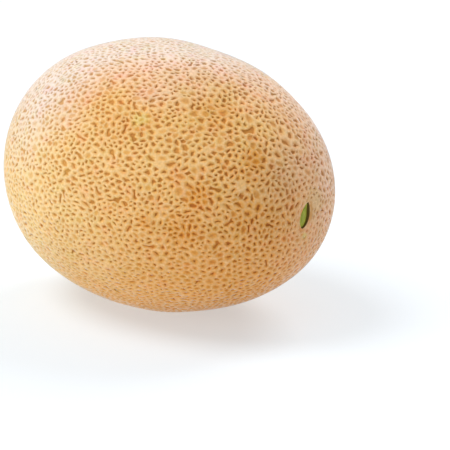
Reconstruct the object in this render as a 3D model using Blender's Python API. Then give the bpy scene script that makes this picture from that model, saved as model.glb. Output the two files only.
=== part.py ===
"""A ripe netted cantaloupe melon, lying on its side on a small flat spot.

The fruit is one solid. Its body is a blunt egg whose long axis lies along X, with the stem end at +X.
The raised cork net is cut into its surface as wide flat cords round sunken pits, larger than life.
Units are metres, +Z is up, and the origin is under the middle of the fruit, on the surface it lies on.
"""

import math
import random

import bmesh
import bpy
import numpy as np
from mathutils import Vector, noise

MM = 0.001

# The body: a turned egg, a little wider at the blossom end
GIRTH_RADIUS = 70 * MM
HALF_LENGTH = 1.343 * GIRTH_RADIUS
EGG_TAPER = 0.085  # how much the stem end is slimmer
BLUNTNESS = 0.83  # 1 is an ellipse, less is blunter

# Slight swells and hollows of a fruit that grew lying in a field
SWELL_HEIGHT = 0.85 * MM
SWELL_FREQUENCY = 2.2
SWELL_PLACE = Vector((27.2, 14.4, -20.8))

# The stem end: a shallow basin with the lens-shaped scar in it, a little off the fruit's axis
SCAR_PLACE = (0.9 * MM, -3.4 * MM)  # along Y and Z
BASIN_RADIUS = 15 * MM
BASIN_DEPTH = 1.6 * MM
SCAR_LENGTH = 13.6 * MM
SCAR_WIDTH = 6.8 * MM
SCAR_LEAN = math.radians(16)  # its top leans to the +Y side
SCAR_POINTEDNESS = 1.35  # 1 is an ellipse, more is more pointed
SCAR_DROOP = 0.18  # how much its lower half is fuller
SCAR_DEPTH = 1.4 * MM
SCAR_BULGE = 1.0 * MM  # the flesh stands up in the middle of it
SCAR_LIP = 0.8 * MM  # how far its wall leans in

# The blossom end: a small round button of cork
BUTTON_RADIUS = 4.5 * MM
BUTTON_HEIGHT = 0.5 * MM
BUTTON_DISH = 0.5 * MM

# Small pits in a collar round each end's scar, an even number so that two face the lens's points
COLLAR_PITS = 12
COLLAR_RADIUS = 11.5 * MM
COLLAR_INSET = 0.985  # how near the collar lies to the end, as a share of the half length
COLLAR_PIT_SIZE = 0.3
COLLAR_PIT_DEPTH = 0.9 * MM

# The net
NET_SEED = 5
PIT_SPACING = 9.85 * MM  # least distance between the middles of two pits
PIT_TRIES = 40000
PIT_SIZE = (0.56, 0.75)  # share of the way from a pit's middle to the middle of the cords
PIT_STRETCH = 1.2
PIT_DEPTH = (1.4 * MM, 1.9 * MM)
PIT_WALL = 0.8 * MM  # how far the walls lean in
SHORT_SIDE = 1.7 * MM  # a pit's rim has no side shorter than this
BLANK_SHARE = 0.05  # pits that the cork has grown over
JOINED_SHARE = 0.1  # neighbours that run together

# The spot that the fruit lies on
GROUND_DEPTH = 1.4 * MM
GROUND_MARGIN = 2.1 * MM  # no pit has its middle this little above the spot
GROUND_SNAP = 0.25 * MM  # points this near to the spot's level are moved onto it

CORK_COLOUR = (0.72, 0.46, 0.24)
PIT_COLOUR = (0.46, 0.22, 0.06)
SCAR_COLOUR = (0.33, 0.36, 0.06)
SHARP_ANGLE = math.radians(35)

STEM = Vector((HALF_LENGTH, *SCAR_PLACE)).normalized()
BLOSSOM = Vector((-1, 0, 0))


def profile(angle):
    """Distance along the axis and radius of the bare egg, at an angle counted from the stem end."""
    lean = math.cos(angle)
    radius = GIRTH_RADIUS * max(math.sin(angle), 0.0) ** BLUNTNESS * (1 - EGG_TAPER * lean)
    return HALF_LENGTH * lean, radius


ANGLES = np.linspace(0, math.pi, 4001)
PROFILE = np.array([profile(angle) for angle in ANGLES])
BEARINGS = np.arctan2(PROFILE[:, 1], PROFILE[:, 0])


def bare_point(direction):
    """Where a ray from the fruit's middle leaves the bare egg."""
    across = math.hypot(direction.y, direction.z)
    along, radius = profile(float(np.interp(math.atan2(across, direction.x), BEARINGS, ANGLES)))
    return direction.normalized() * math.hypot(along, radius)


def off_place(point, place):
    """From a place near one of the fruit's ends to a point, seen along the fruit's axis."""
    return Vector((0, point.y - place[0], point.z - place[1]))


def skin_point(direction, sunk=0.0):
    """The same point with the swells and the stem basin, sunk below the skin by a distance."""
    unit = direction.normalized()
    point = bare_point(unit)
    swell = SWELL_HEIGHT * noise.noise(unit * SWELL_FREQUENCY + SWELL_PLACE)
    off_scar = off_place(point, SCAR_PLACE).length if unit.x > 0 else 1.0
    basin = BASIN_DEPTH * math.exp(-((off_scar / BASIN_RADIUS) ** 2))
    return point + unit * (swell - basin - sunk)


def ring_directions(pole, radius, count):
    """Directions to points spaced evenly round a place near one of the fruit's ends."""
    middle = bare_point(pole)
    turns = [math.tau * (i + 0.5) / count for i in range(count)]
    reach = math.copysign(HALF_LENGTH * COLLAR_INSET, pole.x)
    offsets = [(radius * math.cos(turn), radius * math.sin(turn)) for turn in turns]
    return [Vector((reach, middle.y + y, middle.z + z)).normalized() for y, z in offsets]


def pit_directions():
    """The two ends, the collar round each, and pits scattered evenly over the rest of the skin."""
    rng = random.Random(NET_SEED)
    directions = []
    for pole in (STEM, BLOSSOM):
        directions += [pole] + ring_directions(pole, COLLAR_RADIUS, COLLAR_PITS)
    places = np.empty((PIT_TRIES, 3))
    count = 0
    for direction in directions:
        places[count] = bare_point(direction)
        count += 1
    slope = np.hypot(*np.diff(PROFILE, axis=0).T)
    area = np.concatenate([[0], np.cumsum(slope * (PROFILE[1:, 1] + PROFILE[:-1, 1]))])
    for _ in range(PIT_TRIES):
        angle = float(np.interp(rng.random() * area[-1], area, ANGLES))
        turn = rng.random() * math.tau
        along, radius = profile(angle)
        place = (along, radius * math.cos(turn), radius * math.sin(turn))
        if min(((places[:count] - place) ** 2).sum(axis=1)) > PIT_SPACING**2:
            places[count] = place
            count += 1
            directions.append(Vector(place).normalized())
    return directions


def lens_point(turn):
    """A point of the stem scar's outline, which is pointed at its top and bottom."""
    up = SCAR_LENGTH / 2 * math.sin(turn)
    side = SCAR_WIDTH / 2 * math.copysign(abs(math.cos(turn)) ** SCAR_POINTEDNESS, math.cos(turn))
    side *= 1 - SCAR_DROOP * math.sin(turn)
    return (
        SCAR_PLACE[0] + side * math.cos(SCAR_LEAN) + up * math.sin(SCAR_LEAN),
        SCAR_PLACE[1] + up * math.cos(SCAR_LEAN) - side * math.sin(SCAR_LEAN),
    )


def cell_loops(vert):
    """A hull vertex's face corners, in order round it, seen from outside."""
    first = vert.link_loops[0]
    loops = [first]
    step = first.link_loop_prev.link_loop_radial_next
    while step != first:
        loops.append(step)
        step = step.link_loop_prev.link_loop_radial_next
    return loops


class Net:
    """Builds the netted skin: cords, pits and the two scars, as one closed mesh."""

    CORK, PIT, SCAR = range(3)

    def __init__(self):
        self.rng = random.Random(NET_SEED + 1)
        self.mesh = bmesh.new()
        self.cells = bmesh.new()
        for direction in pit_directions():
            self.cells.verts.new(bare_point(direction))
        self.cells.verts.ensure_lookup_table()
        self.stem = self.cells.verts[0]
        self.button = self.cells.verts[1 + COLLAR_PITS]
        self.collar = set(self.cells.verts[: 2 * (1 + COLLAR_PITS)]) - {self.stem, self.button}
        bmesh.ops.convex_hull(self.cells, input=self.cells.verts[:], use_existing_faces=False)
        bmesh.ops.recalc_face_normals(self.cells, faces=self.cells.faces[:])

    def vert(self, point):
        return self.mesh.verts.new(point)

    def face(self, verts, look):
        """Makes a face, where points that were run together leave one."""
        verts = list(dict.fromkeys(verts))
        if len(verts) > 2:
            self.mesh.faces.new(verts).material_index = look

    def is_grounded(self, point):
        return skin_point(point).z < -GIRTH_RADIUS + GROUND_DEPTH + GROUND_MARGIN

    def rim(self, vert, size, stretch, shortest):
        """A cell's rim: part of the way from its middle to each place where three cords meet."""
        middle = vert.co
        axis = middle.cross(Vector([self.rng.gauss(0, 1) for _ in range(3)])).normalized()
        places = []
        for loop in cell_loops(vert):
            reach = (loop.face.calc_center_median() - middle) * size
            reach += axis * reach.dot(axis) * (stretch - 1)
            places.append((loop, skin_point(middle + reach)))
        kept = None
        for loop, place in places:
            if kept is None or (place - kept.co).length > shortest:
                kept = self.vert(place)
            self.corners[loop] = kept

    def plan(self):
        """Makes every pit's rim points, one for each corner of a hull face."""
        self.corners = {}
        self.open_pits = set()
        for vert in self.cells.verts:
            size = self.rng.uniform(*PIT_SIZE)
            stretch = self.rng.uniform(1, PIT_STRETCH)
            blank = self.rng.random() < BLANK_SHARE
            if vert in self.collar:
                size, stretch = COLLAR_PIT_SIZE, 1
            elif vert not in (self.stem, self.button) and not blank and not self.is_grounded(vert.co):
                self.open_pits.add(vert)
            self.rim(vert, size, stretch, SHORT_SIDE if vert in self.open_pits else 0)
        self.shape_scar_rim(self.stem)
        self.shape_button_rim(self.button)

    def shape_scar_rim(self, vert):
        for loop in vert.link_loops:
            junction = off_place(loop.face.calc_center_median(), SCAR_PLACE)
            y, z = lens_point(math.atan2(junction.z, junction.y))
            self.corners[loop].co = skin_point(Vector((HALF_LENGTH, y, z)))

    def shape_button_rim(self, vert):
        for loop in vert.link_loops:
            junction = loop.face.calc_center_median()
            turn = math.atan2(junction.z, junction.y)
            y, z = BUTTON_RADIUS * math.cos(turn), BUTTON_RADIUS * math.sin(turn)
            self.corners[loop].co = skin_point(Vector((-HALF_LENGTH, y, z)), -BUTTON_HEIGHT)

    def build(self):
        self.plan()
        joined = set()
        for edge in self.cells.edges:
            pair = set(edge.verts)
            if pair <= self.open_pits and self.rng.random() < JOINED_SHARE:
                joined.add(edge)
        self.floors = {}
        for vert in self.cells.verts:
            self.pit(vert, joined)
        for edge in self.cells.edges:
            self.cord(edge, edge in joined)
        for face in self.cells.faces:
            self.face([self.corners[loop] for loop in face.loops], self.CORK)
        self.cells.free()
        return self.mesh

    def cord(self, edge, is_joined):
        """The cord between two pits, or the channel where they run together."""
        here, there = edge.link_loops
        sides = (here, here.link_loop_next, there, there.link_loop_next)
        near, far, far_back, near_back = [self.corners[loop] for loop in sides]
        if not is_joined:
            self.face([far, near, near_back, far_back], self.CORK)
            return
        low = [self.floors[point] for point in (near, far, far_back, near_back)]
        self.face([far, near, low[0], low[1]], self.PIT)
        self.face([near_back, far_back, low[2], low[3]], self.PIT)
        self.face([low[1], low[0], low[3], low[2]], self.PIT)

    def pit(self, vert, joined):
        """The inside of one cell."""
        loops = cell_loops(vert)
        rim = [self.corners[loop] for loop in loops]
        if vert == self.stem:
            self.scar(rim)
        elif vert == self.button:
            self.fan(rim, self.vert(skin_point(BLOSSOM, BUTTON_DISH - BUTTON_HEIGHT)), self.CORK)
        elif vert in self.collar:
            self.fan(rim, self.vert(skin_point(vert.co, COLLAR_PIT_DEPTH)), self.PIT)
        elif vert not in self.open_pits:
            self.face(rim, self.CORK)
        else:
            depth = self.rng.uniform(*PIT_DEPTH)
            for point in dict.fromkeys(rim):
                inward = (vert.co - point.co).normalized() * PIT_WALL
                self.floors[point] = self.vert(skin_point(point.co + inward, depth))
            for loop, point in zip(loops, rim):
                after = self.corners[loop.link_loop_prev.link_loop_radial_next]
                if loop.link_loop_prev.edge not in joined:
                    self.face([point, after, self.floors[after], self.floors[point]], self.PIT)
            self.face([self.floors[point] for point in rim], self.PIT)

    def fan(self, rim, middle, look):
        for i, point in enumerate(rim):
            self.face([point, rim[(i + 1) % len(rim)], middle], look)

    def scar(self, rim):
        """The stem scar: a wall round it, and flesh that stands up a little in the middle."""
        floor = []
        for point in rim:
            outward = off_place(point.co, SCAR_PLACE)
            shift = outward.normalized() * min(SCAR_LIP, outward.length / 2)
            floor.append(self.vert(point.co - shift - STEM * SCAR_DEPTH))
        for i, point in enumerate(rim):
            after = (i + 1) % len(rim)
            self.face([point, rim[after], floor[after], floor[i]], self.SCAR)
        self.fan(floor, self.vert(skin_point(STEM, SCAR_DEPTH - SCAR_BULGE)), self.SCAR)


def cut_ground_spot(mesh):
    """Slices the lowest part off level, so that the fruit lies still."""
    cut = bmesh.ops.bisect_plane(
        mesh,
        geom=mesh.verts[:] + mesh.edges[:] + mesh.faces[:],
        dist=GROUND_SNAP,
        plane_co=(0, 0, GROUND_DEPTH - GIRTH_RADIUS),
        plane_no=(0, 0, 1),
        use_snap_center=True,
        clear_inner=True,
    )
    outline = [item for item in cut["geom_cut"] if isinstance(item, bmesh.types.BMEdge)]
    bmesh.ops.edgenet_fill(mesh, edges=outline)


def centre_on_ground(mesh):
    """Puts the origin under the middle of the fruit, on the surface that it lies on."""
    low = [min(vert.co[axis] for vert in mesh.verts) for axis in range(3)]
    high = [max(vert.co[axis] for vert in mesh.verts) for axis in range(3)]
    middle = Vector(((low[0] + high[0]) / 2, (low[1] + high[1]) / 2, low[2]))
    bmesh.ops.translate(mesh, verts=mesh.verts[:], vec=-middle)


def material(name, colour, roughness):
    look = bpy.data.materials.new(name)
    look.use_nodes = True
    shader = look.node_tree.nodes["Principled BSDF"]
    shader.inputs["Base Color"].default_value = (*colour, 1)
    shader.inputs["Roughness"].default_value = roughness
    shader.inputs["Metallic"].default_value = 0
    return look


def make_melon(collection):
    mesh = Net().build()
    cut_ground_spot(mesh)
    centre_on_ground(mesh)
    bmesh.ops.triangulate(mesh, faces=mesh.faces[:])
    bmesh.ops.recalc_face_normals(mesh, faces=mesh.faces[:])
    data = bpy.data.meshes.new("melon")
    mesh.to_mesh(data)
    mesh.free()
    data.materials.append(material("cork net", CORK_COLOUR, 0.8))
    data.materials.append(material("skin in the pits", PIT_COLOUR, 0.7))
    data.materials.append(material("stem scar flesh", SCAR_COLOUR, 0.45))
    data.shade_smooth()
    data.set_sharp_from_angle(angle=SHARP_ANGLE)
    melon = bpy.data.objects.new("melon", data)
    collection.objects.link(melon)
    return melon


def main():
    for item in list(bpy.data.objects):
        bpy.data.objects.remove(item, do_unlink=True)
    collection = bpy.data.collections.new("cantaloupe melon")
    bpy.context.scene.collection.children.link(collection)
    make_melon(collection)


main()
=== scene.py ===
"""The looks of a ripe netted cantaloupe melon, laid out as a Blender add-on.

The cork net is a Geometry Nodes tree: pits scattered over the fruit, the cells round them, some
cells run together, and each cell cut as a pit with a wall. The skin shows in the pits, and the stem
scar and the blossom scar fill the two places at the ends that the net leaves open. Units are
metres, +Z is up, and the stem end is at +X.
"""

import math

import bmesh
import bpy
import numpy as np
from bpy.props import FloatProperty, FloatVectorProperty, IntProperty, PointerProperty
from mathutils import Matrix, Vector, noise


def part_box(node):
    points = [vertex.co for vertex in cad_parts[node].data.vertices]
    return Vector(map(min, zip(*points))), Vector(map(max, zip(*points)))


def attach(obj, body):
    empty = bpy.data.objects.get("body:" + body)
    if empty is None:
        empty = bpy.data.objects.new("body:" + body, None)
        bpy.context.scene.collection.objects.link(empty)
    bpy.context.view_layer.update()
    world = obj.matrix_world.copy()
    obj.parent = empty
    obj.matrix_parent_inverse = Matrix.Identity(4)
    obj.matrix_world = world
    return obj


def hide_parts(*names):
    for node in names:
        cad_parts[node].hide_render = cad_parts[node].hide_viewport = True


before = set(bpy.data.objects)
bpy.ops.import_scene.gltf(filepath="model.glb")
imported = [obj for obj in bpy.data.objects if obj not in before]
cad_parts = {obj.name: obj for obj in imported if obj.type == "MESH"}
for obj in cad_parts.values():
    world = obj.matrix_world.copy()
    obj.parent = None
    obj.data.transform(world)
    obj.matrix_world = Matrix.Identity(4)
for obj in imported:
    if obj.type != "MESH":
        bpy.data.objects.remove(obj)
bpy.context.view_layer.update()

MM = 0.001

bl_info = {
    "name": "Netted Cantaloupe",
    "version": (1, 0, 0),
    "blender": (4, 5, 0),
    "location": "3D View > Sidebar > Melon",
    "description": "Builds a ripe netted cantaloupe melon and a plain studio round it",
    "category": "Add Mesh",
}


def length(name, description, millimetres):
    """A size property, whose default is given in millimetres."""
    return FloatProperty(
        name=name, description=description, default=millimetres * MM, subtype="DISTANCE",
        unit="LENGTH", precision=5,
    )


def share(name, description, default):
    """A property that is a share of something else."""
    return FloatProperty(
        name=name, description=description, default=default, min=0, subtype="FACTOR"
    )


def colour(name, description, default):
    return FloatVectorProperty(
        name=name, description=description, default=default, size=3, min=0, max=1, subtype="COLOR"
    )


def power(name, description, default):
    """The strength of a light."""
    return FloatProperty(name=name, description=description, default=default, min=0)


def angle(name, description, degrees):
    """An angle property, whose default is given in degrees."""
    return FloatProperty(
        name=name, description=description, default=math.radians(degrees), subtype="ANGLE",
        unit="ROTATION",
    )


class MelonBody(bpy.types.PropertyGroup):
    girth_radius: length("Girth radius", "Half the fruit's thickness", 70)
    slimness: share("Slimness", "Half the fruit's length, as a share of its girth radius", 1.343)
    taper: share("Taper", "How much the stem end is slimmer than the blossom end", 0.085)
    bluntness: share("Bluntness", "1 gives an ellipse, less gives blunter ends", 0.83)
    swell: length("Swell", "Height of the slight swells over the fruit", 0.85)
    basin_radius: length("Basin radius", "Radius of the basin round the stem scar", 15)
    basin_depth: length("Basin depth", "Depth of the basin round the stem scar", 1.6)
    ground_depth: length("Ground depth", "How much the resting spot is flattened", 1.4)


class MelonNet(bpy.types.PropertyGroup):
    seed: IntProperty(name="Seed", description="Draws another net", default=7)
    spacing: length("Pit spacing", "Least distance between the middles of two pits", 1.96)
    density: FloatProperty(
        name="Pit density", description="Pits tried on a square metre", default=192000, min=0
    )
    smallest: share("Smallest pit", "Width of the smallest pits, as a share of a cell", 0.30)
    largest: share("Largest pit", "Width of the largest pits, as a share of a cell", 0.57)
    stretch: share("Stretch", "How long the longest pits are for their width", 2.2)
    raggedness: share("Raggedness", "How much a pit's corners are drawn in or out", 0.55)
    joined: share("Joined share", "Share of the neighbouring pits that run together", 0.007)
    blank: share("Blank share", "Share of the pits that the cork has closed", 0.008)
    faint: share("Faint share", "Share of the pits that the cork has half filled", 0.22)
    depth: length("Pit depth", "How far the pits' walls go down", 0.8)
    lean: share("Wall lean", "How far the walls lean in, as a share of the pit", 0.78)
    low_fade: share("Low fade", "How much smaller the pits are on the underside", 0.5)
    crown: length("Crown", "How much higher the cords are along their middle", 0.28)


class MelonScars(bpy.types.PropertyGroup):
    length: length("Scar length", "Length of the stem scar", 13.6)
    width: length("Scar width", "Width of the stem scar", 6.8)
    droop: share("Scar droop", "How much the scar's lower half is fuller", 0.18)
    off_y: length("Scar offset Y", "How far the scar is off the fruit's axis, along Y", 0.9)
    off_z: length("Scar offset Z", "How far the scar is off the fruit's axis, along Z", -3.4)
    lean: angle("Scar lean", "Lean of the scar's top to the +Y side", 16)
    button_radius: length("Blossom scar radius", "Radius of the blossom scar", 4.5)
    patch_y: length("Patch Y", "Middle of the pitless patch by the stem scar, along Y", 8.2)
    patch_z: length("Patch Z", "Middle of the pitless patch by the stem scar, along Z", 2.2)
    patch_radius: length("Patch radius", "Radius of the pitless patch", 3.6)


class MelonColours(bpy.types.PropertyGroup):
    golden: colour("Golden", "The cords over most of the fruit", (0.80, 0.465, 0.155))
    # On the lower side, the orange is partly the fruit's own tone and partly painted shade.
    orange: colour("Orange", "Warmer patches and the lower side", (0.73, 0.31, 0.038))
    # The pale yellow is partly the cork's own tone and partly a painted highlight on the side that
    # faces the key light.
    pale: colour("Pale yellow", "The cords on the side away from the stem", (0.86, 0.60, 0.265))
    # On the top and the far side, the pinkish colour is partly a painted highlight.
    pink: colour("Pinkish", "The cords on the top and at the stem end", (0.86, 0.555, 0.405))
    # The crown colour is a painted highlight: the whitish cords along the top and back edge, where
    # the light from above and behind falls.
    crown: colour("Crown", "The dry palest cords along the top", (0.82, 0.725, 0.67))
    green: colour("Green tinge", "The small greenish patches", (0.62, 0.60, 0.14))
    # The crest colour is partly the dry cork's own tone and partly a painted highlight along the
    # cords' crests.
    crest: colour("Crests", "The dry crests of the cords", (0.93, 0.72, 0.46))
    # The pit tints are partly the skin's own colour and partly painted shade in the pits; the mild
    # one paints less shade on the paler side and low down.
    pit: colour("Pit tint", "What the pits keep of the cords' colour", (0.62, 0.41, 0.185))
    mild_pit: colour("Mild pit tint", "The same on the paler side and low down", (0.74, 0.53, 0.27))
    # The slope tint is partly painted shade: the cords darken from their crests down to the pits'
    # rims.
    slope: colour("Slope tint", "What the slopes keep of the cords' colour", (0.93, 0.82, 0.64))
    flesh: colour("Scar flesh", "The pale green flesh of the stem scar", (0.46, 0.47, 0.03))
    flesh_dark: colour("Dark flesh", "The olive sides of the flesh", (0.22, 0.25, 0.012))
    # The scar edge colour is partly dry dark tissue and partly painted shade in the gap between the
    # flesh and the rim.
    scar_edge_and_shade: colour("Scar edge", "The dry dark edge of the stem scar", (0.12, 0.075, 0.008))
    floor: colour("Floor", "The plain pale floor", (0.52, 0.545, 0.57))
    glow: colour("Glow", "The floor's own light, which keeps shadows grey", (0.87, 0.945, 1.0))


class MelonStage(bpy.types.PropertyGroup):
    key: power("Key light", "Strength of the light from the left", 1.55)
    front: power("Front light", "Strength of the light from the front", 0.84)
    top: power("Top light", "Strength of the light from behind", 1.28)
    fill: power("Fill light", "Strength of the light from all round", 0.46)
    softness: angle("Softness", "How wide the lights look from the fruit", 34)
    distance: length("Camera distance", "From the camera to the fruit's middle", 840)


PROFILE_STEPS = 4001  # points of the egg's outline, from one end to the other
SWELL_FREQUENCY = 2.2  # how often the noise of the swells changes over one radius
SWELL_PLACE = Vector((27.2, 14.4, -20.8))  # which part of the noise makes the swells
OTHER_END = 1.0  # a distance in metres from the stem scar, for points at the other end
SKIN_DEPTH = 0.55 * MM  # the skin lies this far under the net's surface
GROUND_SINK = 0.5  # share of its depth that sunk skin keeps on the resting spot
RISE = "rise"  # attribute: how far the skin stands out from the bare egg
EDGE = "edge"  # attribute: 0 on a cord's crest, 1 at a pit's rim, 2 at the foot of its wall
ZONE = "zone"  # attribute: 0 on a scar's collar, 1 on its edge, 2 on its inside
FORM_SUBDIVISIONS = 7  # of the egg that the net is laid on
MEASURE_SUBDIVISIONS = 6  # of the egg that the fruit's middle is found from
SKIN_SUBDIVISIONS = 6  # of the skin under the net
SCAR_MARGIN = 1.7 * MM  # cells with their middle nearer to a scar's edge are left open
SCAR_CLEAR = 0.8 * MM  # no point of the net comes nearer to the stem scar's edge
SCAR_CLEARANCE = 3.0 * MM  # how much deeper the skin lies under the stem scar
GROUND_MARGIN = 2.1 * MM  # cells with their middle nearer to the ground have no pit
AWAY = 100.0  # added to a nearness, in metres or radii, to leave out the fruit's other end
SMALL_NEAR_SCAR = 0.62  # share of its size that a pit keeps beside a scar
SCAR_BAND = 2.2  # it has all of its size this many radii of the scar's opening further out
FEW_LARGE = 1.5  # 1 gives as many large pits as small ones, more gives fewer
FAINT_SHRINK = 0.22  # how much smaller the half-filled pits are
FAINT_LEVELS = (0.1, 0.5)  # how deep they are, as a share of a pit's depth
CLOSED_LEVEL = 0.35  # the edge attribute in the middle of a closed cell
LARGEST_REACH = 0.95  # share of its cell that a pit may reach across
LOW_HEIGHT = 88 * MM  # below this height over the ground the pits get smaller
LOW_BAND = 50 * MM  # over this much height
MERGE_DISTANCE = 0.01 * MM  # points of neighbouring crests that are nearer become one
RAY_START = 0.3  # metres from the fruit's middle, well outside it
SCAR_POINTEDNESS = 1.35  # 1 gives an ellipse, more gives sharper tips
RING_POINTS = 96  # points on each ring of a scar


class Form:
    """The fruit's body, with the same sizes as the CAD model, about the fruit's own middle."""

    def __init__(self, sizes, scars):
        self.sizes = sizes
        self.scar = (scars.off_y, scars.off_z)
        self.half_length = sizes.girth_radius * sizes.slimness
        angles = np.linspace(0, math.pi, PROFILE_STEPS)
        lean = np.cos(angles)
        self.along = self.half_length * lean
        self.radius = (
            sizes.girth_radius
            * np.clip(np.sin(angles), 0, None) ** sizes.bluntness
            * (1 - sizes.taper * lean)
        )
        self.bearings = np.arctan2(self.radius, self.along)
        self.ground = sizes.ground_depth - sizes.girth_radius

    def bare(self, directions):
        """Where rays from the middle leave the bare egg. Each direction is a row."""
        bearing = np.arctan2(np.hypot(directions[:, 1], directions[:, 2]), directions[:, 0])
        along = np.interp(bearing, self.bearings, self.along)
        radius = np.interp(bearing, self.bearings, self.radius)
        return directions * np.hypot(along, radius)[:, None]

    def rise(self, directions):
        """How far the swells and the stem basin lift the skin above the bare egg."""
        points = self.bare(directions)
        off_scar = np.hypot(points[:, 1] - self.scar[0], points[:, 2] - self.scar[1])
        off_scar[directions[:, 0] < 0] = OTHER_END
        swells = [noise.noise(Vector(row) * SWELL_FREQUENCY + SWELL_PLACE) for row in directions]
        basin = self.sizes.basin_depth * np.exp(-((off_scar / self.sizes.basin_radius) ** 2))
        return self.sizes.swell * np.array(swells) - basin

    def skin(self, places, sunk):
        """Points of the skin in the directions of given places, sunk by given distances."""
        directions = places / np.linalg.norm(places, axis=1)[:, None]
        height = self.rise(directions) - sunk
        points = self.bare(directions) + directions * height[:, None]
        lowest = self.ground + np.clip(sunk, 0, None) * GROUND_SINK
        points[:, 2] = np.maximum(points[:, 2], lowest)
        return points


def read_points(mesh):
    points = np.empty(len(mesh.vertices) * 3)
    mesh.vertices.foreach_get("co", points)
    return points.reshape(-1, 3)


def write_points(mesh, points):
    mesh.vertices.foreach_set("co", points.ravel())
    mesh.update()


def store(mesh, name, values):
    attribute = mesh.attributes.new(name, "FLOAT", "POINT")
    attribute.data.foreach_set("value", np.asarray(values, np.float32))


def egg_mesh(name, form, subdivisions):
    """A fine closed mesh of the bare egg, which knows how far the skin rises above it."""
    ball = bmesh.new()
    bmesh.ops.create_icosphere(ball, subdivisions=subdivisions, radius=1)
    mesh = bpy.data.meshes.new(name)
    ball.to_mesh(mesh)
    ball.free()
    directions = read_points(mesh)
    directions /= np.linalg.norm(directions, axis=1)[:, None]
    write_points(mesh, form.bare(directions))
    store(mesh, RISE, form.rise(directions))
    return mesh


def fruit_middle(form):
    """Where the fruit's middle is in the CAD frame: over the box's middle, on the ground."""
    low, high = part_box("melon")
    mesh = egg_mesh("measure", form, MEASURE_SUBDIVISIONS)
    points = form.skin(read_points(mesh), np.zeros(len(mesh.vertices)))
    bpy.data.meshes.remove(mesh)
    own = (points.min(axis=0) + points.max(axis=0)) / 2
    x, y = ((low[axis] + high[axis]) / 2 - own[axis] for axis in (0, 1))
    return Vector((x, y, low[2] - form.ground))


def move_to_frame(mesh, form):
    """Moves a mesh from the fruit's own middle to where the CAD model is."""
    write_points(mesh, read_points(mesh) + np.array(fruit_middle(form)))


class Wire:
    """A socket of a node tree. Python's operators on it add Math nodes."""

    def __init__(self, tree, socket):
        self.tree = tree
        self.socket = socket

    def math(self, operation, *values, clamp=False):
        settings = {"operation": operation, "use_clamp": clamp}
        return self.tree.node("ShaderNodeMath", settings, dict(enumerate(values)))[0]

    def __add__(self, other):
        return self.math("ADD", self, other)

    def __radd__(self, other):
        return self.math("ADD", other, self)

    def __sub__(self, other):
        return self.math("SUBTRACT", self, other)

    def __rsub__(self, other):
        return self.math("SUBTRACT", other, self)

    def __mul__(self, other):
        return self.math("MULTIPLY", self, other)

    def __rmul__(self, other):
        return self.math("MULTIPLY", other, self)

    def __truediv__(self, other):
        return self.math("DIVIDE", self, other)

    def __rtruediv__(self, other):
        return self.math("DIVIDE", other, self)

    def __pow__(self, other):
        return self.math("POWER", self, other)

    def __gt__(self, other):
        return self.math("GREATER_THAN", self, other)

    def __lt__(self, other):
        return self.math("LESS_THAN", self, other)

    def lowest(self, other):
        return self.math("MINIMUM", self, other)

    def highest(self, other):
        return self.math("MAXIMUM", self, other)

    def clamped(self):
        return self.math("ADD", self, 0.0, clamp=True)

    def root(self):
        return self.math("SQRT", self)


class Tree:
    """A node tree that is written as expressions."""

    def __init__(self, tree):
        self.tree = tree

    def node(self, kind, settings=None, sockets=None):
        """Adds a node. Its settings come first, then the values or links of its sockets."""
        made = self.tree.nodes.new(kind)
        for name, value in (settings or {}).items():
            setattr(made, name, value)
        for key, value in (sockets or {}).items():
            self.plug(made.inputs[key], value)
        return [Wire(self, socket) for socket in made.outputs]

    def plug(self, socket, value):
        if isinstance(value, Wire):
            self.tree.links.new(value.socket, socket)
        elif isinstance(socket.default_value, (int, float, bool, str)):
            socket.default_value = type(socket.default_value)(value)
        else:
            filler = (1.0,) if len(value) < len(socket.default_value) else ()
            socket.default_value = (*value, *filler)

    def vector(self, operation, *values):
        """A Vector Math node. It gives a number for the operations that have one."""
        settings = {"operation": operation}
        outputs = self.node("ShaderNodeVectorMath", settings, dict(enumerate(values)))
        return outputs[1] if operation in ("DOT_PRODUCT", "DISTANCE") else outputs[0]

    def scaled(self, vector, factor):
        settings = {"operation": "SCALE"}
        return self.node("ShaderNodeVectorMath", settings, {0: vector, "Scale": factor})[0]

    def split(self, vector):
        return self.node("ShaderNodeSeparateXYZ", {}, {0: vector})

    def joined(self, x, y, z):
        return self.node("ShaderNodeCombineXYZ", {}, {0: x, 1: y, 2: z})[0]


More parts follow.
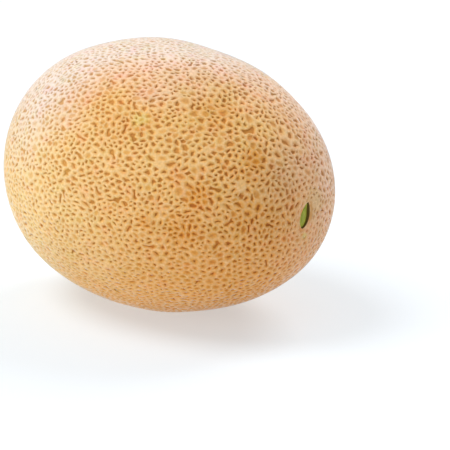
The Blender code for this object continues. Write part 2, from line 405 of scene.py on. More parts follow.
class GeometryTree(Tree):
    """A Geometry Nodes tree with named inputs."""

    def __init__(self, name):
        super().__init__(bpy.data.node_groups.new(name, "GeometryNodeTree"))
        self.identifiers = {}
        for end, in_out in (("Mesh", "OUTPUT"), ("Fruit", "INPUT")):
            self.tree.interface.new_socket(
                name=end, in_out=in_out, socket_type="NodeSocketGeometry"
            )
        self.inputs = self.tree.nodes.new("NodeGroupInput")

    def mesh_input(self):
        return Wire(self, self.inputs.outputs[0])

    def input(self, name, kind):
        """A named input. Gives its wire, and keeps its identifier for the modifier."""
        made = self.tree.interface.new_socket(name=name, in_out="INPUT", socket_type=kind)
        self.identifiers[name] = made.identifier
        return Wire(self, self.inputs.outputs[name])

    def capture(self, geometry, domain, kind, value):
        """Keeps a value as it is here. Gives the geometry and the kept value."""
        made = self.tree.nodes.new("GeometryNodeCaptureAttribute")
        made.domain = domain
        made.capture_items.new(kind, "Value")
        self.plug(made.inputs[0], geometry)
        self.plug(made.inputs[1], value)
        return Wire(self, made.outputs[0]), Wire(self, made.outputs[1])

    def random(self, kind, low, high, seed):
        """A random number, or a random vector where the kind is FLOAT_VECTOR."""
        first = {"FLOAT_VECTOR": 0, "FLOAT": 2}[kind]
        sockets = {first: low, first + 1: high, "Seed": seed}
        return self.node("FunctionNodeRandomValue", {"data_type": kind}, sockets)[first // 2]

    def extrude(self, geometry, selection=None):
        """Doubles faces in place, each island as one. Gives the mesh and which are new."""
        sockets = {"Mesh": geometry, "Offset Scale": 0.0, "Individual": False}
        if selection is not None:
            sockets["Selection"] = selection
        mesh, top, _ = self.node("GeometryNodeExtrudeMesh", {"mode": "FACES"}, sockets)
        return mesh, top

    def level(self, geometry, value, selection=True):
        """Stores the edge attribute, for the selected points."""
        settings = {"data_type": "FLOAT", "domain": "POINT"}
        sockets = {0: geometry, "Selection": selection, "Name": EDGE, "Value": value}
        return self.node("GeometryNodeStoreNamedAttribute", settings, sockets)[0]

    def named(self, name):
        """The numbers of an attribute."""
        settings = {"data_type": "FLOAT"}
        return self.node("GeometryNodeInputNamedAttribute", settings, {"Name": name})[0]

    def finish(self, geometry, material):
        """Ends the tree with its instances made real and its material set."""
        real = self.node("GeometryNodeRealizeInstances", {}, {0: geometry})[0]
        done = self.node("GeometryNodeSetMaterial", {}, {0: real, "Material": material})[0]
        self.plug(self.tree.nodes.new("NodeGroupOutput").inputs[0], done)

    def apply(self, mesh, name, values):
        """Runs the tree on a mesh and gives the result as a plain mesh."""
        carrier = bpy.data.objects.new(name, mesh)
        bpy.context.scene.collection.objects.link(carrier)
        modifier = carrier.modifiers.new(name, "NODES")
        modifier.node_group = self.tree
        for key, value in values.items():
            modifier[self.identifiers[key]] = value
        graph = bpy.context.evaluated_depsgraph_get()
        result = bpy.data.meshes.new_from_object(
            carrier.evaluated_get(graph), preserve_all_data_layers=True, depsgraph=graph
        )
        result.name = name
        bpy.data.objects.remove(carrier, do_unlink=True)
        return result


def net_tree():
    """The cork net: cells round scattered pits, some run together, each cut as a pit.

    Each draw has a seed of its own, a step from the tree's seed.
    """
    g = GeometryTree("cork net")
    seed = g.input("Seed", "NodeSocketInt")
    spacing = g.input("Pit spacing", "NodeSocketFloat")
    density = g.input("Pit density", "NodeSocketFloat")
    smallest = g.input("Smallest pit", "NodeSocketFloat")
    largest = g.input("Largest pit", "NodeSocketFloat")
    stretch = g.input("Stretch", "NodeSocketFloat")
    raggedness = g.input("Raggedness", "NodeSocketFloat")
    joined_share = g.input("Joined share", "NodeSocketFloat")
    blank_share = g.input("Blank share", "NodeSocketFloat")
    faint_share = g.input("Faint share", "NodeSocketFloat")
    depth = g.input("Pit depth", "NodeSocketFloat")
    lean = g.input("Wall lean", "NodeSocketFloat")
    low_fade = g.input("Low fade", "NodeSocketFloat")
    crown = g.input("Crown", "NodeSocketFloat")
    scar_half_length = g.input("Scar opening half length", "NodeSocketFloat")
    scar_half_width = g.input("Scar opening half width", "NodeSocketFloat")
    scar_lean = g.input("Scar lean", "NodeSocketFloat")
    scar_y = g.input("Scar offset Y", "NodeSocketFloat")
    scar_z = g.input("Scar offset Z", "NodeSocketFloat")
    button_radius = g.input("Blossom opening radius", "NodeSocketFloat")
    patch_y = g.input("Patch Y", "NodeSocketFloat")
    patch_z = g.input("Patch Z", "NodeSocketFloat")
    patch_radius = g.input("Patch radius", "NodeSocketFloat")
    ground = g.input("Ground level", "NodeSocketFloat")
    look = g.input("Material", "NodeSocketMaterial")

    place = g.node("GeometryNodeInputPosition")[0]
    normal = g.node("GeometryNodeInputNormal")[0]
    points = g.node(
        "GeometryNodeDistributePointsOnFaces",
        {"distribute_method": "POISSON"},
        {"Mesh": g.mesh_input(), "Distance Min": spacing, "Density Max": density, "Seed": seed},
    )[0]
    hull = g.node("GeometryNodeConvexHull", {}, {0: points})[0]
    cells = g.node("GeometryNodeDualMesh", {}, {0: hull})[0]

    # What each cell is: its middle, how near it is to a scar, and whether it is open
    cells, middle = g.capture(cells, "FACE", "VECTOR", place)
    x, y, z = g.split(middle)
    sine, cosine = scar_lean.math("SINE", scar_lean), scar_lean.math("COSINE", scar_lean)
    off_y, off_z = y - scar_y, z - scar_z
    across = (off_y * cosine - off_z * sine) / scar_half_width
    upward = (off_y * sine + off_z * cosine) / scar_half_length
    near_stem = (across * across + upward * upward).root() + (x < 0.0) * AWAY
    near_button = (y * y + z * z).root() / button_radius + (x > 0.0) * AWAY
    nearness = near_stem.lowest(near_button)
    bare_end = nearness < 1.0
    draw = g.random("FLOAT", 0.0, 1.0, seed + 1)
    near_patch = ((y - patch_y) ** 2.0 + (z - patch_z) ** 2.0).root() + (x < 0.0) * AWAY
    has_pit = (draw > blank_share) * (z > ground + GROUND_MARGIN) * (near_patch > patch_radius)
    is_open = has_pit.highest(bare_end)
    cells, is_open = g.capture(cells, "FACE", "FLOAT", is_open)
    cells, bare_end = g.capture(cells, "FACE", "FLOAT", bare_end)
    is_faint = (draw > 1.0 - faint_share) * (1.0 - bare_end)
    cells, is_faint = g.capture(cells, "FACE", "FLOAT", is_faint)
    cells, fill = g.capture(cells, "FACE", "FLOAT", g.random("FLOAT", *FAINT_LEVELS, seed + 6))
    off_opening = ((nearness - 1.0) / SCAR_BAND).clamped()
    small_near_scar = SMALL_NEAR_SCAR + (1.0 - SMALL_NEAR_SCAR) * off_opening
    wide = g.random("FLOAT", 0.0, 1.0, seed + 2) ** FEW_LARGE
    low_down = ((LOW_HEIGHT + ground - z) / LOW_BAND).clamped()
    size = smallest + (largest - smallest) * wide
    size = size * small_near_scar * (1.0 - low_fade * low_down)
    size = size * (1.0 - FAINT_SHRINK * is_faint)
    cells, size = g.capture(cells, "FACE", "FLOAT", size)
    longest = LARGEST_REACH / (size * (1.0 + raggedness))
    longer = g.random("FLOAT", 1.0, stretch, seed + 3).lowest(longest)
    cells, longer = g.capture(cells, "FACE", "FLOAT", longer)
    any_way = g.random("FLOAT_VECTOR", (-1, -1, -1), (1, 1, 1), seed + 4)
    axis = g.vector("NORMALIZE", g.vector("CROSS_PRODUCT", normal, any_way))
    cells, axis = g.capture(cells, "FACE", "VECTOR", axis)

    # Edges where two pits run together stay whole, and the others are split
    both_open = (is_open > 0.9) * (bare_end < 0.1) * (is_faint < 0.1)
    run_together = both_open * (g.random("FLOAT", 0.0, 1.0, seed + 5) < joined_share)
    whole = run_together.highest(bare_end > 0.9)
    cells = g.node("GeometryNodeSplitEdges", {}, {"Mesh": cells, "Selection": 1.0 - whole})[0]
    cells, inward = g.capture(cells, "POINT", "VECTOR", g.vector("SUBTRACT", middle, place))

    # The crest ring: the cells' faces are doubled and drawn in to the pits' rims
    rims, top = g.extrude(g.level(cells, 0.0))
    corner = 1.0 + raggedness * g.random("FLOAT", -1.0, 1.0, seed + 7)
    reach = g.scaled(inward, size * corner * -1.0)
    along = g.vector("DOT_PRODUCT", reach, axis) * (longer - 1.0)
    reach = g.vector("ADD", reach, g.scaled(axis, along))
    rim = g.vector("ADD", g.vector("ADD", place, inward), reach)
    rims = g.node("GeometryNodeSetPosition", {}, {0: rims, "Selection": top, "Position": rim})[0]
    rim_level = CLOSED_LEVEL + (1.0 - CLOSED_LEVEL) * is_open + is_open * is_faint * fill
    rims = g.level(rims, rim_level, top)

    # The walls: the open pits' faces are doubled again, and then left out
    pits, floor = g.extrude(rims, top * is_open * (1.0 - is_faint) > 0.5)
    foot = g.vector("ADD", place, g.scaled(inward, size * lean))
    pits = g.node("GeometryNodeSetPosition", {}, {0: pits, "Selection": floor, "Position": foot})[0]
    pits = g.level(pits, 2.0, floor)
    faces = {"domain": "FACE", "mode": "ALL"}
    net = g.node("GeometryNodeDeleteGeometry", faces, {0: pits, "Selection": floor})[0]
    edge = g.named(EDGE)
    crests = {0: net, "Selection": edge < 0.01, "Distance": MERGE_DISTANCE}
    net = g.node("GeometryNodeMergeByDistance", {}, crests)[0]

    # Each point goes to its height over or under the skin
    own_x, own_y, own_z = g.split(place)
    off_y, off_z = own_y - scar_y, own_z - scar_z
    across = (off_y * cosine - off_z * sine) / (scar_half_width - SCAR_MARGIN + SCAR_CLEAR)
    upward = (off_y * sine + off_z * cosine) / (scar_half_length - SCAR_MARGIN + SCAR_CLEAR)
    near_opening = (across * across + upward * upward).root() + (own_x < 0.0) * AWAY
    push = (1.0 / near_opening).highest(1.0)
    cleared = g.joined(own_x, scar_y + off_y * push, scar_z + off_z * push)
    outward = g.vector("NORMALIZE", cleared)
    _, hit, hit_normal, _, hit_rise = g.node(
        "GeometryNodeRaycast",
        {"data_type": "FLOAT"},
        {
            "Target Geometry": g.mesh_input(),
            "Attribute": g.named(RISE),
            "Source Position": g.scaled(outward, RAY_START),
            "Ray Direction": g.scaled(outward, -1.0),
            "Ray Length": RAY_START,
        },
    )
    sunk = depth * (edge - 1.0).highest(0.0) - crown * (1.0 - edge).highest(0.0)
    moved = g.vector("ADD", hit, g.scaled(outward, hit_rise))
    moved = g.vector("SUBTRACT", moved, g.scaled(hit_normal, sunk))
    moved_x, moved_y, moved_z = g.split(moved)
    moved = g.joined(moved_x, moved_y, moved_z.highest(ground))
    net = g.node("GeometryNodeSetPosition", {}, {0: net, "Position": moved})[0]
    net = g.node("GeometryNodeSetShadeSmooth", {}, {0: net, "Shade Smooth": True})[0]
    g.finish(net, look)
    return g


class Shader(Tree):
    """A material that is written as expressions, with the parts that finishes share."""

    def __init__(self, name):
        self.material = bpy.data.materials.new(name)
        self.material.use_nodes = True
        super().__init__(self.material.node_tree)
        self.surface = self.tree.nodes["Principled BSDF"]
        self.place = self.node("ShaderNodeTexCoord")[3]

    def noise(self, scale, detail=3.0, roughness=0.55, place=None):
        """A noise from 0 to 1, mostly near 0.5. A scale of 100 gives blotches 1 cm wide."""
        sockets = {"Vector": place or self.place, "Scale": scale}
        sockets.update({"Detail": detail, "Roughness": roughness})
        return self.node("ShaderNodeTexNoise", {}, sockets)[0]

    def mix(self, factor, first, second):
        settings = {"data_type": "RGBA", "clamp_factor": True}
        return self.node("ShaderNodeMix", settings, {0: factor, 6: first, 7: second})[2]

    def tinted(self, factor, base, tint):
        """The base colour, multiplied by the tint as far as the factor says."""
        return self.mix(factor, base, self.vector("MULTIPLY", base, tint))

    def attribute(self, name):
        return self.node("ShaderNodeAttribute", {"attribute_name": name})[2]

    def ramp(self, value, low, high):
        """0 below the low value and 1 above the high one, smooth between them."""
        settings = {"interpolation_type": "SMOOTHSTEP"}
        sockets = {"Value": value, "From Min": low, "From Max": high}
        sockets.update({"To Min": 0.0, "To Max": 1.0})
        return self.node("ShaderNodeMapRange", settings, sockets)[0]

    def finish(self, base, roughness, height=None, distance=0.0, shine=0.5, sheen=0.0):
        self.plug(self.surface.inputs["Base Color"], base)
        self.plug(self.surface.inputs["Roughness"], roughness)
        self.plug(self.surface.inputs["Specular IOR Level"], shine)
        self.plug(self.surface.inputs["Sheen Weight"], sheen)
        self.plug(self.surface.inputs["Sheen Roughness"], 0.25)
        if height is not None:
            sockets = {"Strength": 1.0, "Distance": distance, "Height": height}
            self.plug(self.surface.inputs["Normal"], self.node("ShaderNodeBump", {}, sockets)[0])
        return self.material


# Where the cords turn warmer, greenish or dull: the place and radius in millimetres, and how much
WARM_PATCHES = (
    ((68, -48, 79), 8, 0.85), ((62, -52, 63), 10, 0.85), ((45, -60, 65), 5, 0.85),
    ((82, -24, 96), 6, 0.85), ((46, -20, 122), 18, 0.12), ((84, -30, 70), 12, 0.4),
)
GREEN_PATCHES = (((31, -49, 111), 5, 0.4), ((93, 1, 55), 2.2, 0.55))
DULL_PATCHES = (((93, 7, 70), 9, 0.9), ((44, -20, 122), 22, 0.55))

# What some areas keep of their colour
DULL_TINT = (0.86, 0.90, 0.74)
# Painted shade: the lower side towards the stem end is darkened by this tint.
LOW_STEM_SHADE_TINT = (0.93, 0.86, 0.78)
PINKISH_TINT = (1.04, 0.9, 1.0)
GREENISH_TINT = (0.93, 0.99, 0.85)
DEEP_SKIN_TINT = (0.85, 0.66, 0.38)

# Colours inside the two scars
# Paler fibres in the stem scar's flesh, partly painted highlights.
PALE_FIBRES_AND_HIGHLIGHTS = (0.58, 0.62, 0.09)
DARK_BUTTON = (0.28, 0.14, 0.05)

# Between which two values the areas fade in or out, in metres in the CAD frame
PIT_SIDE_X = (-0.01, 0.05)
PIT_LOW_X = (0.055, 0.09)
LOW_HEIGHTS = (0.02, 0.1)
PALE_LIT_SIDE_RANGE = (0.015, 0.085)
PINK_TOP_HIGHLIGHT_HEIGHTS = (0.108, 0.132)
TOP_HIGHLIGHT_RANGE = (-0.046, -0.026)
TOP_HIGHLIGHT_HEIGHTS = (0.06, 0.125)
TOP_HIGHLIGHT_END_X = (0.02, 0.06)
FAR_SIDE_HIGHLIGHT_RANGE = (-0.060, -0.034)
FAR_SIDE_HIGHLIGHT_X = (0.03, 0.06)
FAR_SIDE_HIGHLIGHT_HEIGHTS = (0.06, 0.1)
STEM_RANGE = (0.042, 0.078)
LOW_STEM_SHADE_X = (0.03, 0.08)
BLOTCH_RANGE = (0.03, 0.2)  # a noise's range, without a unit

# Scales of the noises: the higher, the finer
WANDER_SCALE = 20.0
PATCH_SCALE = 38.0
BLOTCH_SCALE = 150.0

FLOOR_GLOW = 0.46  # strength of the floor's own light


def near(s, middle, radius, wander):
    """1 round a place, falling off to 0 with a wandering edge. Sizes are in millimetres."""
    off = s.vector("DISTANCE", s.place, [value * MM for value in middle])
    return 1.0 - s.ramp(off + wander * radius * MM, 0.4 * radius * MM, 1.2 * radius * MM)


def patched(s, patches, wander):
    """The strongest of several patches at each place."""
    strengths = [near(s, middle, radius, wander) * strength for middle, radius, strength in patches]
    strongest = strengths[0]
    for strength in strengths[1:]:
        strongest = strongest.highest(strength)
    return strongest


def low_down_orange_and_shade(s, x, height, wander):
    """1 low down, where the cords are more orange and darker, partly the fruit's own tone and
    partly painted shade, and 0 higher up. It reaches higher at +X.
    """
    return 1.0 - s.ramp(height + wander * 0.05 - (x - 0.05) * 0.5, *LOW_HEIGHTS)


def pit_skin_and_shade_tint(s, colours):
    """What the pits keep of the cords' colour: partly the skin's own tone and partly painted shade
    in the pits. They keep more on the paler side and low down.
    """
    x, _, height = s.split(s.place)
    left = 1.0 - s.ramp(x, *PIT_SIDE_X)
    low = low_down_orange_and_shade(s, x, height, s.noise(WANDER_SCALE) - 0.5) * (1.0 - s.ramp(x, *PIT_LOW_X))
    return s.mix(left.highest(low), colours.pit, colours.mild_pit)


def cord_colour(s, colours):
    """The cords' colour by place: golden, paler to one side, pinkish on top and at the stem end.
    The pale side, the top and the back edges are partly painted highlights, and the low side is
    partly painted shade.
    """
    x, y, height = s.split(s.place)
    wander = s.noise(WANDER_SCALE) - 0.5
    patches = s.ramp(s.noise(PATCH_SCALE), 0.45, 0.68)
    # The paler side is partly the cork's own tone and partly a painted highlight where the key
    # light falls.
    pale = s.ramp(wander * 0.05 - (x + y) * 0.7, *PALE_LIT_SIDE_RANGE)
    # The pinkish top is partly the cork's own tone and partly a painted highlight where the light
    # from above falls.
    top = s.ramp(height + wander * 0.06 - x * 0.2, *PINK_TOP_HIGHLIGHT_HEIGHTS)
    # How far a place lies to the back of the fruit, as the camera sees it
    behind = x * -0.49 + y * 0.68 - (height - 0.07) * 0.25 + wander * 0.01
    # The crown is a painted highlight: the cords on the top towards the back are made whitish where
    # the light from above and behind falls.
    crown = s.ramp(behind, *TOP_HIGHLIGHT_RANGE) * 0.9
    crown = crown * s.ramp(height + x.highest(0.0) * 0.3, *TOP_HIGHLIGHT_HEIGHTS)
    crown = crown * (1.0 - s.ramp(x, *TOP_HIGHLIGHT_END_X) * 0.65)
    # The far side is a painted highlight: the cords at the stem end's back edge turn pinkish pale
    # where the light from behind falls.
    far_side_highlight = s.ramp(behind, *FAR_SIDE_HIGHLIGHT_RANGE) * s.ramp(x, *FAR_SIDE_HIGHLIGHT_X)
    far_side_highlight = far_side_highlight * s.ramp(height, *FAR_SIDE_HIGHLIGHT_HEIGHTS) * 0.75
    # Low down, the cords turn orange and darker, partly the fruit's own tone and partly painted
    # shade.
    low = low_down_orange_and_shade(s, x, height, wander)
    stem = s.ramp((x + y) * 0.7 + wander * 0.04, *STEM_RANGE) * (1.0 - low * 0.5)
    body = s.mix((patches * 0.5).highest(low * 0.8), colours.golden, colours.orange)
    body = s.mix(pale, body, colours.pale)
    body = s.mix(top.highest(stem).highest(far_side_highlight), body, colours.pink)
    body = s.mix(crown, body, colours.crown)
    blotch = s.noise(BLOTCH_SCALE) - 0.5
    body = s.mix(patched(s, WARM_PATCHES, blotch), body, colours.orange)
    body = s.mix(patched(s, GREEN_PATCHES, blotch), body, colours.green)
    body = s.tinted(patched(s, DULL_PATCHES, blotch), body, DULL_TINT)
    # Painted shade: the cords low down at the stem end are darkened.
    body = s.tinted(low * s.ramp(x, *LOW_STEM_SHADE_X), body, LOW_STEM_SHADE_TINT)
    body = s.tinted(s.ramp(blotch, *BLOTCH_RANGE) * 0.7, body, PINKISH_TINT)
    return s.tinted(s.ramp(0.0 - blotch, *BLOTCH_RANGE) * 0.7, body, GREENISH_TINT)


def cork_material(colours):
    s = Shader("cork net")
    edge = s.attribute(EDGE)
    crest = 1.0 - s.ramp(edge, 0.0, 0.9)
    wall = s.ramp(edge, 0.95, 1.8)
    mottle = s.noise(420.0, roughness=0.65)
    grain = s.noise(1600.0, roughness=0.7)
    base = cord_colour(s, colours)
    # The crests are paler, partly the dry cork's own tone and partly a painted highlight, and the
    # slopes and walls darken towards the pits, partly painted shade.
    ridge_tone_and_highlight = (1.0 - s.ramp(edge, 0.05, 0.45)) * s.ramp(mottle, 0.42, 0.66) * 0.4
    dry = (crest * 0.2 + s.ramp(mottle, 0.5, 0.75) * 0.2) * (0.5 + grain)
    base = s.mix(ridge_tone_and_highlight.highest(dry), base, colours.crest)
    base = s.scaled(base, 0.62 + 0.76 * s.noise(900.0, roughness=0.65))
    base = s.tinted(s.ramp(edge, 0.25, 1.1), base, colours.slope)
    base = s.tinted(wall, base, pit_skin_and_shade_tint(s, colours))
    height = mottle * 0.6 + grain * 0.4
    return s.finish(base, 0.62 + 0.2 * grain, height, 0.2 * MM, shine=0.25, sheen=1.0)


def skin_material(colours):
    s = Shader("skin in the pits")
    depth = s.ramp(s.noise(120.0), 0.35, 0.65)
    speckle = s.noise(900.0, detail=2.0)
    # The skin in the pits takes the pit tint, partly its own colour and partly painted shade.
    tint = s.mix(depth * 0.7, pit_skin_and_shade_tint(s, colours), DEEP_SKIN_TINT)
    base = s.vector("MULTIPLY", cord_colour(s, colours), tint)
    return s.finish(base, 0.5 + 0.2 * speckle, speckle, 0.05 * MM, shine=0.25, sheen=0.1)


def stem_scar_material(colours):
    s = Shader("stem scar")
    zone = s.attribute(ZONE)
    upright = s.vector("MULTIPLY", s.place, (1.0, 1.0, 0.22))
    fibres = s.noise(700.0, 4.0, 0.6, upright)
    blotches = s.noise(260.0)
    collar = s.vector("MULTIPLY", cord_colour(s, colours), colours.slope)
    collar = s.mix(s.ramp(blotches, 0.4, 0.7) * 0.5, collar, colours.crest)
    flesh = s.mix(s.ramp(fibres, 0.35, 0.7), colours.flesh_dark, colours.flesh)
    # Paler fibres, partly painted highlights on the flesh.
    flesh = s.mix(s.ramp(fibres, 0.55, 0.8) * 0.8, flesh, PALE_FIBRES_AND_HIGHLIGHTS)
    base = s.mix(s.ramp(zone, 0.35, 0.9), collar, colours.scar_edge_and_shade)
    base = s.mix(s.ramp(zone, 1.1, 1.7), base, flesh)
    rough = 0.75 - 0.35 * s.ramp(zone, 1.2, 1.6)
    return s.finish(base, rough, fibres * 0.6 + blotches * 0.4, 0.2 * MM, shine=0.25)


def blossom_scar_material(colours):
    s = Shader("blossom scar")
    zone = s.attribute(ZONE)
    grain = s.noise(700.0, 4.0, 0.65)
    base = s.mix(s.ramp(grain, 0.35, 0.7), colours.golden, colours.crest)
    base = s.mix(s.ramp(zone, 1.2, 2.0) * 0.7, base, DARK_BUTTON)
    return s.finish(base, 0.85, grain, 0.15 * MM)


def floor_material(colours):
    s = Shader("plain floor")
    s.plug(s.surface.inputs["Emission Color"], colours.glow)
    s.plug(s.surface.inputs["Emission Strength"], FLOOR_GLOW)
    return s.finish(colours.floor, 0.9)


def add_piece(name, mesh, material=None):
    """Links a finished mesh as a piece that rides with the fruit, with the material it is given, if
    any.
    """
    if material is not None:
        mesh.materials.clear()
        mesh.materials.append(material)
    piece = bpy.data.objects.new(name, mesh)
    bpy.context.scene.collection.objects.link(piece)
    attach(piece, "root")
    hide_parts("melon")
    return piece


def lens(turns, scars, grow):
    """Points of the stem scar's outline, grown by a distance, as offsets along Y and Z."""
    up = (scars.length / 2 + grow) * np.sin(turns)
    cosine = np.cos(turns)
    side = (scars.width / 2 + grow) * np.sign(cosine) * np.abs(cosine) ** SCAR_POINTEDNESS
    side *= 1 - scars.droop * np.sin(turns)
    sine, cosine = math.sin(scars.lean), math.cos(scars.lean)
    return scars.off_y + side * cosine + up * sine, scars.off_z + up * cosine - side * sine


def ringed_mesh(name, form, pole, rings):
    """A disc over the +X or -X end, by its pole of 1 or -1. Each ring gives Y, Z, sunk and zone."""
    points, zones, faces = [], [], []
    for y, z, sunk, zone in rings:
        places = np.stack([np.full(len(y), pole * form.half_length), y, z], axis=1)
        points.append(form.skin(places, sunk))
        zones.append(np.full(len(y), zone) if np.isscalar(zone) else zone)
    middle = np.array([[pole * form.half_length, rings[-1][0].mean(), rings[-1][1].mean()]])
    points.append(form.skin(middle, np.array([float(np.mean(rings[-1][2]))])))
    zones.append([float(np.mean(zones[-1]))])
    count = len(rings[0][0])
    last = len(rings) * count
    for ring in range(len(rings) - 1):
        for i in range(count):
            j = (i + 1) % count
            a, b = ring * count, (ring + 1) * count
            faces.append((a + i, a + j, b + j, b + i))
    for i in range(count):
        faces.append((last - count + i, last - count + (i + 1) % count, last))
    mesh = bpy.data.meshes.new(name)
    outward = faces if pole > 0 else [face[::-1] for face in faces]
    mesh.from_pydata(np.concatenate(points).tolist(), [], outward)
    store(mesh, ZONE, np.concatenate(zones))
    mesh.shade_smooth()
    return mesh


# Rings of the stem scar from the outside in: how far outside its edge, and how far sunk, in
# millimetres. The flesh starts at the foot of the wall and is drawn in step by step.
COLLAR_RINGS = (
    (4.6, 0.95), (3.6, 0.5), (2.9, 0.2), (2.2, 0.02), (1.5, -0.08), (0.9, -0.14), (0.4, -0.12),
    (0.0, 0.02),
)
WALL_RINGS = ((-0.1, 0.35), (-0.25, 0.8), (-0.45, 1.15))
FLESH_EDGE = -0.6
FLESH_STEPS = np.linspace(0.0, 0.9, 9)
BUTTON_STEPS = np.linspace(1.7, 0.06, 24)  # rings of the blossom scar, in its radii


class MELON_OT_net(bpy.types.Operator):
    """Builds the cork net that covers the fruit"""

    bl_idname = "melon.net"
    bl_label = "Cork net"

    def execute(self, context):
        scene = context.scene
        form = Form(scene.melon_body, scene.melon_scars)
        net, scars = scene.melon_net, scene.melon_scars
        values = {
            "Seed": net.seed,
            "Pit spacing": net.spacing,
            "Pit density": net.density,
            "Smallest pit": net.smallest,
            "Largest pit": net.largest,
            "Stretch": net.stretch,
            "Raggedness": net.raggedness,
            "Joined share": net.joined,
            "Blank share": net.blank,
            "Faint share": net.faint,
            "Pit depth": net.depth,
            "Wall lean": net.lean,
            "Low fade": net.low_fade,
            "Crown": net.crown,
            "Scar opening half length": scars.length / 2 + SCAR_MARGIN,
            "Scar opening half width": scars.width / 2 + SCAR_MARGIN,
            "Scar lean": scars.lean,
            "Scar offset Y": scars.off_y,
            "Scar offset Z": scars.off_z,
            "Blossom opening radius": scars.button_radius + SCAR_MARGIN,
            "Patch Y": scars.patch_y,
            "Patch Z": scars.patch_z,
            "Patch radius": scars.patch_radius,
            "Ground level": form.ground,
            "Material": cork_material(scene.melon_colours),
        }
        mesh = net_tree().apply(egg_mesh("bare egg", form, FORM_SUBDIVISIONS), "net", values)
        move_to_frame(mesh, form)
        add_piece("net", mesh)
        return {"FINISHED"}


class MELON_OT_skin(bpy.types.Operator):
    """Builds the skin that shows in the pits of the net"""

    bl_idname = "melon.skin"
    bl_label = "Skin"

    def execute(self, context):
        scene = context.scene
        form, scars = Form(scene.melon_body, scene.melon_scars), scene.melon_scars
        mesh = egg_mesh("skin", form, SKIN_SUBDIVISIONS)
        places = read_points(mesh)
        off_scar = np.hypot(places[:, 1] - scars.off_y, places[:, 2] - scars.off_z)
        off_scar[places[:, 0] < 0] = OTHER_END
        under = np.clip((scars.length / 2 + SCAR_MARGIN - off_scar) / SCAR_MARGIN, 0, 1)
        points = form.skin(places, SKIN_DEPTH + SCAR_CLEARANCE * under)
        write_points(mesh, points)
        move_to_frame(mesh, form)
        mesh.attributes.remove(mesh.attributes[RISE])
        mesh.shade_smooth()
        add_piece("skin", mesh, skin_material(scene.melon_colours))
        return {"FINISHED"}


class MELON_OT_stem_scar(bpy.types.Operator):
    """Builds the lens-shaped stem scar and the collar round it"""

    bl_idname = "melon.stem_scar"
    bl_label = "Stem scar"

    def execute(self, context):
        scene = context.scene
        form, scars = Form(scene.melon_body, scene.melon_scars), scene.melon_scars
        turns = np.arange(RING_POINTS) * math.tau / RING_POINTS
        side = np.cos(turns)
        rings = []
        for grow, sunk in COLLAR_RINGS:
            y, z = lens(turns, scars, grow * MM)
            on_edge = grow == 0
            rings.append((y, z, np.full(RING_POINTS, sunk * MM), 0.5 if on_edge else 0.0))
        # The wall rings take the dark edge colour, partly dry tissue and partly painted shade down
        # the wall.
        for grow, sunk in WALL_RINGS:
            y, z = lens(turns, scars, grow * MM)
            deeper = 0.75 + 0.25 * side  # the wall is deepest on the +Y side
            rings.append((y, z, sunk * MM * deeper, 1.0))
        for step in FLESH_STEPS:
            y, z = lens(turns, scars, FLESH_EDGE * MM)
            y = y + (scars.off_y - y) * step
            z = z + (scars.off_z - z) * step
            tilt = 0.5 + (0.5 * side + 0.15 * np.sin(turns)) * (1 - step)
            sunk = MM * (0.35 + 0.75 * tilt**2 + 0.35 * (1 - step) ** 6)
            # The flesh is painted dark towards its +Y side and top, partly dry tissue and partly
            # painted shade in the gap by the rim.
            dark = np.clip((tilt - 0.86) / 0.12, 0, 1)
            rings.append((y, z, sunk, 2.0 - dark))
        mesh = ringed_mesh("stem_scar", form, 1, rings)
        move_to_frame(mesh, form)
        add_piece("stem_scar", mesh, stem_scar_material(scene.melon_colours))
        return {"FINISHED"}


class MELON_OT_blossom_scar(bpy.types.Operator):
    """Builds the small round scar at the blossom end"""

    bl_idname = "melon.blossom_scar"
    bl_label = "Blossom scar"

    def execute(self, context):
        scene = context.scene
        form, scars = Form(scene.melon_body, scene.melon_scars), scene.melon_scars
        turns = np.arange(RING_POINTS) * math.tau / RING_POINTS
        rings = []
        for out in BUTTON_STEPS:
            ripple = 0.12 * math.cos(out * 14) * min(1.0, 1.2 - out * 0.6)
            crest = 0.35 * (1 - out**2)
            sunk = 0.75 * max(0.0, (out - 1.0) / 0.7) ** 0.7  # millimetres, outside the button
            sunk += 0.5 * math.exp(-((out / 0.3) ** 2)) - (crest + ripple) * (out < 1)
            zone = 2.0 * math.exp(-((out / 0.45) ** 2))
            wander = 1 + 0.04 * np.sin(3 * turns + out * 4) + 0.03 * np.sin(5 * turns)
            radius = scars.button_radius * out * wander
            depths = np.full(RING_POINTS, sunk * MM)
            rings.append((radius * np.cos(turns), radius * np.sin(turns), depths, zone))
        mesh = ringed_mesh("blossom_scar", form, -1, rings)
        move_to_frame(mesh, form)
        add_piece("blossom_scar", mesh, blossom_scar_material(scene.melon_colours))
        return {"FINISHED"}


FLOOR_SIZE = 8  # metres
KEY_TOWARDS = Vector((-0.45, -0.53, 1.15))
TOP_TOWARDS = Vector((0, 0.95, 1.05))
FRONT_TOWARDS = Vector((-0.45, -0.95, 0.15))
IMAGE_SIZE = 450  # pixels
FOCAL_PIXELS = 1611  # the lens's focal length, in pixels of the picture
FRUIT_PIXEL = (169.8, 176.1)  # where the fruit's middle is in the picture
AZIMUTH = math.radians(45.3)
ELEVATION = math.radians(14.4)
SENSOR_WIDTH = 36.0  # millimetres
CLIP_START = 0.05  # metres


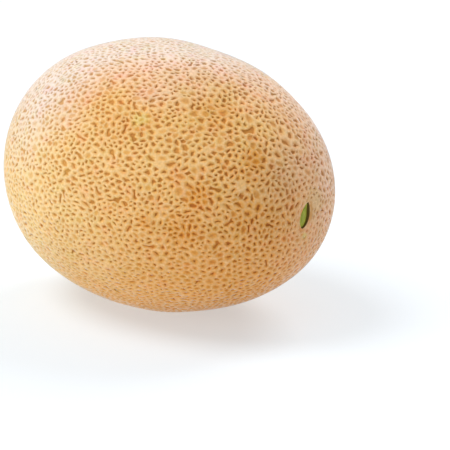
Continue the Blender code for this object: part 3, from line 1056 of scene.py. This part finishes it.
class MELON_OT_stage(bpy.types.Operator):
    """Builds the plain floor, the soft lights and the camera"""

    bl_idname = "melon.stage"
    bl_label = "Studio"

    def execute(self, context):
        scene = context.scene
        self.floor(scene)
        self.lights(scene)
        self.camera(scene)
        scene.view_settings.view_transform = "Standard"
        return {"FINISHED"}

    def floor(self, scene):
        plane = bmesh.new()
        bmesh.ops.create_grid(plane, x_segments=1, y_segments=1, size=FLOOR_SIZE)
        mesh = bpy.data.meshes.new("floor")
        plane.to_mesh(mesh)
        plane.free()
        mesh.materials.append(floor_material(scene.melon_colours))
        floor = bpy.data.objects.new("floor", mesh)
        scene.collection.objects.link(floor)

    def lights(self, scene):
        stage = scene.melon_stage
        world = bpy.data.worlds.new("soft studio")
        world.use_nodes = True
        sky = world.node_tree.nodes["Background"]
        sky.inputs["Color"].default_value = (1, 1, 1, 1)
        sky.inputs["Strength"].default_value = stage.fill
        scene.world = world
        self.sun(scene, "key", stage.key, KEY_TOWARDS)
        self.sun(scene, "top", stage.top, TOP_TOWARDS)
        self.sun(scene, "front", stage.front, FRONT_TOWARDS)

    def sun(self, scene, name, strength, towards):
        """A soft light from far away, and from the direction that it is towards."""
        sun = bpy.data.lights.new(name, "SUN")
        sun.energy = strength
        sun.angle = scene.melon_stage.softness
        light = bpy.data.objects.new(name, sun)
        light.rotation_mode = "QUATERNION"
        light.rotation_quaternion = towards.to_track_quat("Z", "Y")
        scene.collection.objects.link(light)

    def camera(self, scene):
        middle = fruit_middle(Form(scene.melon_body, scene.melon_scars))
        level = math.cos(ELEVATION)
        back = Vector(
            (math.sin(AZIMUTH) * level, -math.cos(AZIMUTH) * level, math.sin(ELEVATION))
        )
        right = Vector((math.cos(AZIMUTH), math.sin(AZIMUTH), 0))
        up = back.cross(right)
        distance = scene.melon_stage.distance
        off_right = (FRUIT_PIXEL[0] - IMAGE_SIZE / 2) / FOCAL_PIXELS
        off_up = (IMAGE_SIZE / 2 - FRUIT_PIXEL[1]) / FOCAL_PIXELS
        aim = -back - right * off_right - up * off_up
        optics = bpy.data.cameras.new("camera")
        optics.sensor_width = SENSOR_WIDTH
        optics.lens = FOCAL_PIXELS / IMAGE_SIZE * SENSOR_WIDTH
        optics.clip_start = CLIP_START
        camera = bpy.data.objects.new("camera", optics)
        camera.location = middle + back * distance
        camera.rotation_mode = "QUATERNION"
        camera.rotation_quaternion = aim.to_track_quat("-Z", "Y")
        scene.collection.objects.link(camera)
        scene.camera = camera


OPERATORS = (
    MELON_OT_net, MELON_OT_skin, MELON_OT_stem_scar, MELON_OT_blossom_scar, MELON_OT_stage
)
GROUPS = {
    "melon_body": MelonBody,
    "melon_net": MelonNet,
    "melon_scars": MelonScars,
    "melon_colours": MelonColours,
    "melon_stage": MelonStage,
}


class MELON_PT_looks(bpy.types.Panel):
    """Lists the melon's pieces and their sizes"""

    bl_idname = "MELON_PT_looks"
    bl_label = "Netted Cantaloupe"
    bl_space_type = "VIEW_3D"
    bl_region_type = "UI"
    bl_category = "Melon"

    def draw(self, context):
        layout = self.layout
        for name, group in GROUPS.items():
            box = layout.box()
            for field in group.__annotations__:
                box.prop(getattr(context.scene, name), field)
        for operator in OPERATORS:
            layout.operator(operator.bl_idname)


def register():
    for name, group in GROUPS.items():
        bpy.utils.register_class(group)
        setattr(bpy.types.Scene, name, PointerProperty(type=group))
    for operator in OPERATORS:
        bpy.utils.register_class(operator)
    bpy.utils.register_class(MELON_PT_looks)


def unregister():
    bpy.utils.unregister_class(MELON_PT_looks)
    for operator in reversed(OPERATORS):
        bpy.utils.unregister_class(operator)
    for name, group in reversed(GROUPS.items()):
        delattr(bpy.types.Scene, name)
        bpy.utils.unregister_class(group)


def main():
    register()
    bpy.ops.melon.net()
    bpy.ops.melon.skin()
    bpy.ops.melon.stem_scar()
    bpy.ops.melon.blossom_scar()
    bpy.ops.melon.stage()


if __name__ == "__main__":
    main()
